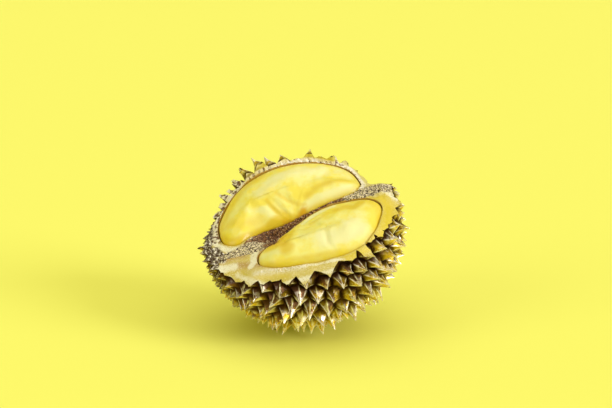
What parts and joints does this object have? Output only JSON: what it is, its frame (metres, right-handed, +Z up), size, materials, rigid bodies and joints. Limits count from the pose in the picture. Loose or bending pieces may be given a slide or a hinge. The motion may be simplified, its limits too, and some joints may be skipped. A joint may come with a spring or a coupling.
{
  "type": "durian",
  "caption": "Opened durian lying on its thorns: a gold-coloured spiny husk with one side cut away, and smooth creamy yellow pods of flesh lying in its chambers.",
  "frame": {"origin": "on the floor under the middle of the fruit's box, at the height of its flattened lowest thorn tips", "axes": "+Z up from the floor; the cut side faces up and towards -Y; the core runs roughly along +X, from the blossom end at -X to the stalk end at +X, and rises towards +X"},
  "size_m": [0.213, 0.2116, 0.1687],
  "materials": {
    "husk": "gold-coloured metallic skin on faceted thorns, darker brown in the valleys, satin yellow-gold with rough speckled fibre where it is cut",
    "flesh": "satin creamy yellow fruit flesh with soft folds, deeper yellow towards its edges"
  },
  "bodies": {
    "root": {"husk": "husk", "far_pod": "flesh", "near_pod": "flesh"}
  },
  "joints": []
}
